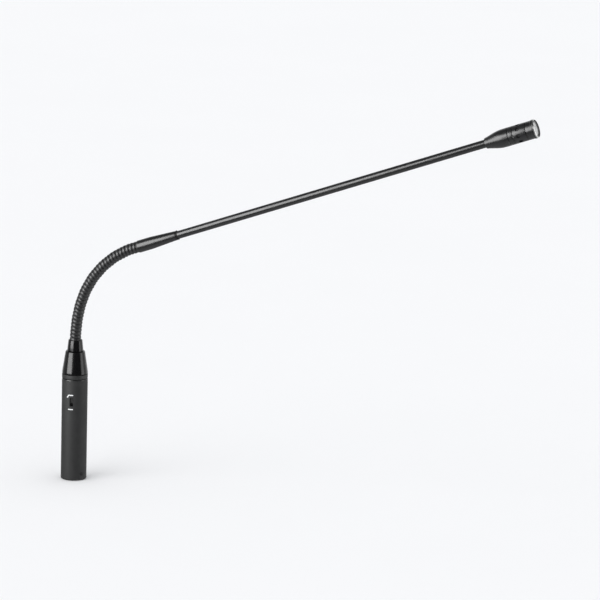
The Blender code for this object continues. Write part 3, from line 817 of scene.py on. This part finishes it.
def build_head_ports():
    """The sleeve with a ring of round ports, each with its edge broken."""
    wall = [(HEAD_BORE_R, 298.5), (HEAD_R, 298.5), (HEAD_R, 308.15), (HEAD_BORE_R, 308.15)]
    sleeve = make("head_ports", lathe_bm(rounded(wall, 0.2), 96), HEAD_SATIN, ARM)
    on_side = Matrix.Translation((0.0, -HEAD_R, PORT_HEIGHT))
    sink = [(0.0, -0.16), (PORT_R, -0.16), (1.75, 0.14), (0.0, 0.14)]
    holes = []
    broken_edges = []
    for i in range(PORT_COUNT):
        place = around(FIRST_PORT_AZIMUTH + 360.0 / PORT_COUNT * i) @ on_side @ LYING
        holes.append(rod_bm(PORT_R, 4.0, 32, place))
        broken_edges.append(lathe_bm_at(sink, 32, place))
    carve(sleeve, joined(holes), ARM)
    carve(sleeve, joined(broken_edges), ARM)
    settle(sleeve, "arm", "satin_black", "head_port_sleeve")


def build_head_rim():
    """The front sleeve, the bright edge of its rim and the lip that holds the mesh."""
    front = [
        (HEAD_BORE_R, 308.45), (HEAD_R, 308.45), (HEAD_R, 311.9), (6.9, 312.8), (6.9, 314.1),
        (6.25, 315.1), (6.1, 315.1), (6.1, 313.2), (5.4, 313.2), (5.4, 310.45),
    ]
    arm_lathe("head_front", front, HEAD_SATIN, "satin_black", ["head_front_sleeve"], 0.08)
    polished = [
        (6.94, 314.1), (6.86, 314.46), (6.67, 314.8), (6.3, 315.12),
        (6.22, 315.0), (6.6, 314.6), (6.8, 314.1),
    ]
    arm_lathe("rim_edge", polished, EDGE_STEEL, "steel", [], 0.02)
    # the real lip, widened and darkened as painted shade where the rim's inner wall shadows the mesh
    lip = [(5.0, 314.1), (6.0, 314.1), (6.0, 314.6), (5.2, 314.4)]
    arm_lathe("mesh_lip", lip, LIP_STEEL_PAINTED_SHADE, "steel", ["grille_snap_ring"], 0.1)


def build_mesh_disc():
    """Woven wire: each wire rises and falls over the ones that cross it, trimmed to a circle."""
    bm = bmesh.new()
    pitch = 0.6
    wire = 0.15
    reach = HEAD_BORE_R
    sides = 6
    count = int(reach / pitch)
    for direction in (0, 1):
        for i in range(-count, count + 1):
            offset = i * pitch
            half = math.sqrt(max(reach * reach - offset * offset, 0.0))
            steps = max(4, int(2 * half / pitch * 4))
            rings = []
            for k in range(steps + 1):
                run = -half + 2 * half * k / steps
                wave = math.cos(math.pi * run / pitch + math.pi * (i + direction)) * wire * 0.9
                ring = []
                for q in range(sides):
                    a = 2 * math.pi * q / sides
                    u = offset + wire * math.cos(a)
                    height = MESH_HEIGHT + (wave + wire * math.sin(a))
                    ring.append(bm.verts.new((run, u, height) if direction else (u, run, height)))
                rings.append(ring)
            for lower, upper in zip(rings, rings[1:]):
                for q in range(sides):
                    w = (q + 1) % sides
                    bm.faces.new((lower[q], lower[w], upper[w], upper[q]))
            bm.faces.new(rings[0][::-1])
            bm.faces.new(rings[-1])
    obj = make("front_mesh", bm, MESH_STEEL, ARM, 60.0)
    settle(obj, "arm", "steel", "front_grille")


# ---------------------------------------------------------------- carried-over pieces

CARRIED = {
    "coupling_sleeve": DARK_BRASS,
    "anchor_nut": PLAIN_BRASS,
    "capsule_cup": PLAIN_BRASS,
    "capsule_backplate": PLAIN_BRASS,
    "ground_contact": STEEL,
    "filter_capacitor_1": STEEL,
    "filter_capacitor_2": STEEL,
    "diaphragm_ring": STEEL,
    "capsule_diaphragm": PLAIN_GOLD,
    "capsule_gasket": RUBBER,
    "preamp_board": BOARD,
    "capsule_board": BOARD,
    "amplifier_chip": PLASTIC,
    "output_transistor": PLASTIC,
    "cable_connector": PLASTIC,
    # the switch frame takes the lighter grey as painted fill light in its shaded opening
    "switch_frame": FRAME_PAINTED_FILL,
    "grille_foam": PALE_FOAM,
}
CARRIED_EDGE = 0.00008


def dress_carried():
    """Materials and a fine edge for the pieces that keep their carried-over shape."""
    for node, material in CARRIED.items():
        obj = frame["nodes"][node]
        for slot in obj.material_slots:
            slot.material = material
        bevel = obj.modifiers.new("edge", "BEVEL")
        bevel.width = CARRIED_EDGE
        bevel.segments = 2
        bevel.limit_method = "ANGLE"
        bevel.angle_limit = math.radians(40.0)


# ---------------------------------------------------------------- stage, light, camera


# just under the foot, in metres
FLOOR_HEIGHT = -0.0004


def build_floor():
    """A wide pale floor that shiny surfaces don't see."""
    bm = bmesh.new()
    bmesh.ops.create_grid(bm, x_segments=2, y_segments=2, size=9.0)
    mesh = bpy.data.meshes.new("floor")
    bm.to_mesh(mesh)
    bm.free()
    floor = bpy.data.objects.new("floor", mesh)
    floor.location = (0.0, 0.0, FLOOR_HEIGHT)
    bpy.context.scene.collection.objects.link(floor)
    n = Nodes("floor_white", (0.86, 0.87, 0.875), 0.0, 0.9)
    stops = [(0.3, (0.87, 0.871, 0.875)), (0.7, (0.876, 0.877, 0.881))]
    n.to("Base Color", n.ramp(n.noise(6.0, 3.0), stops))
    n.set("Specular IOR Level", 0.0)
    mesh.materials.append(n.material)
    floor.visible_glossy = False


# degrees, metres, and the focal length in millimetres
CAMERA_AZIMUTH = 17.16
CAMERA_ELEVATION = 12.35
CAMERA_DISTANCE = 3.249
CAMERA_ROLL = 1.45
CAMERA_TARGET = Vector((0.15695, 0.04842, 0.1386))
FOCAL = 265.8

# every soft box stands this far from the point that it faces
LAMP_AIM = Vector((0.12, 0.0, 0.15))
LAMP_DISTANCE = 1.6


def towards(azimuth, elevation):
    """The direction to this azimuth, counted from -Y towards +X, and elevation."""
    a, e = math.radians(azimuth), math.radians(elevation)
    return Vector((math.sin(a) * math.cos(e), -math.cos(a) * math.cos(e), math.sin(e)))


def facing(back):
    """The turn of a camera or lamp that stands in this direction and looks the other way."""
    return (-back).to_track_quat("-Z", "Y").to_matrix().to_4x4()


def build_camera():
    data = bpy.data.cameras.new("camera")
    data.sensor_width = 36.0
    data.lens = FOCAL
    data.clip_start = 0.05
    data.clip_end = 50.0
    camera = bpy.data.objects.new("camera", data)
    back = towards(CAMERA_AZIMUTH, CAMERA_ELEVATION)
    roll = Matrix.Rotation(math.radians(CAMERA_ROLL), 4, "Z")
    camera.matrix_world = Matrix.Translation(CAMERA_TARGET + back * CAMERA_DISTANCE) @ facing(back) @ roll
    bpy.context.scene.collection.objects.link(camera)
    bpy.context.scene.camera = camera


def soft_box(name, azimuth, elevation, width, height, power):
    """A rectangular lamp that faces the object, at an azimuth counted from the camera's."""
    data = bpy.data.lights.new(name, "AREA")
    data.shape = "RECTANGLE"
    data.size = width
    data.size_y = height
    data.energy = power
    lamp = bpy.data.objects.new(name, data)
    back = towards(CAMERA_AZIMUTH + azimuth, elevation)
    lamp.matrix_world = Matrix.Translation(LAMP_AIM + back * LAMP_DISTANCE) @ facing(back)
    bpy.context.scene.collection.objects.link(lamp)
    return lamp


def build_lights():
    """A broad soft sun for matt surfaces, and four large boxes that only shiny surfaces see."""
    sun = bpy.data.lights.new("key_sun", "SUN")
    sun.energy = 0.95
    sun.angle = math.radians(50.0)
    lamp = bpy.data.objects.new("key_sun", sun)
    back = towards(CAMERA_AZIMUTH - 47.0, 42.0)
    lamp.matrix_world = facing(back)
    lamp.visible_glossy = False
    bpy.context.scene.collection.objects.link(lamp)
    for box in (
        soft_box("box_left", -54.0, 15.0, 1.35, 1.4, 35.0),
        soft_box("box_right", 78.0, 2.0, 0.85, 2.2, 9.5),
        soft_box("wall_right", 124.0, 0.0, 1.8, 2.4, 7.5),
        soft_box("wall_left", -118.0, 0.0, 1.6, 2.4, 3.6),
    ):
        box.visible_diffuse = False
        box.visible_camera = False


def build_world():
    """An even pale surround for the camera and matt surfaces.

    Shiny surfaces see it dark, but for a pale part behind the object and a fainter one below it.
    """
    world = bpy.data.worlds.new("surround")
    bpy.context.scene.world = world
    world.use_nodes = True
    tree = world.node_tree
    background = tree.nodes["Background"]
    background.inputs["Color"].default_value = (0.938, 0.947, 0.964, 1.0)
    where = tree.nodes.new("ShaderNodeTexCoord")
    behind = tree.nodes.new("ShaderNodeVectorMath")
    behind.operation = "DOT_PRODUCT"
    behind.inputs[1].default_value = -towards(CAMERA_AZIMUTH, 0.0)
    tree.links.new(where.outputs["Generated"], behind.inputs[0])
    below = tree.nodes.new("ShaderNodeSeparateXYZ")
    tree.links.new(where.outputs["Generated"], below.inputs[0])
    pale_behind = map_range(tree, behind.outputs["Value"], 0.04, 0.8, start=0.55, end=0.95)
    pale_below = map_range(tree, below.outputs["Z"], 0.0, 0.4, start=-0.4, end=-0.85)
    both = tree.nodes.new("ShaderNodeMath")
    tree.links.new(pale_behind.outputs["Result"], both.inputs[0])
    tree.links.new(pale_below.outputs["Result"], both.inputs[1])
    path = tree.nodes.new("ShaderNodeLightPath")
    lit = map_range(tree, path.outputs["Is Glossy Ray"], 0.935, 1.0)
    tree.links.new(both.outputs[0], lit.inputs["To Max"])
    seen = map_range(tree, path.outputs["Is Camera Ray"], 0.0, 1.0)
    tree.links.new(lit.outputs["Result"], seen.inputs["To Min"])
    tree.links.new(seen.outputs["Result"], background.inputs["Strength"])


build_camera()
build_housing()
build_base_rings()
build_screw()
build_connector()
build_slider()
build_marks()
build_neck()
build_cable()
build_arm()
build_head()
dress_carried()
build_floor()
build_lights()
build_world()
bpy.context.scene.view_settings.view_transform = "Standard"
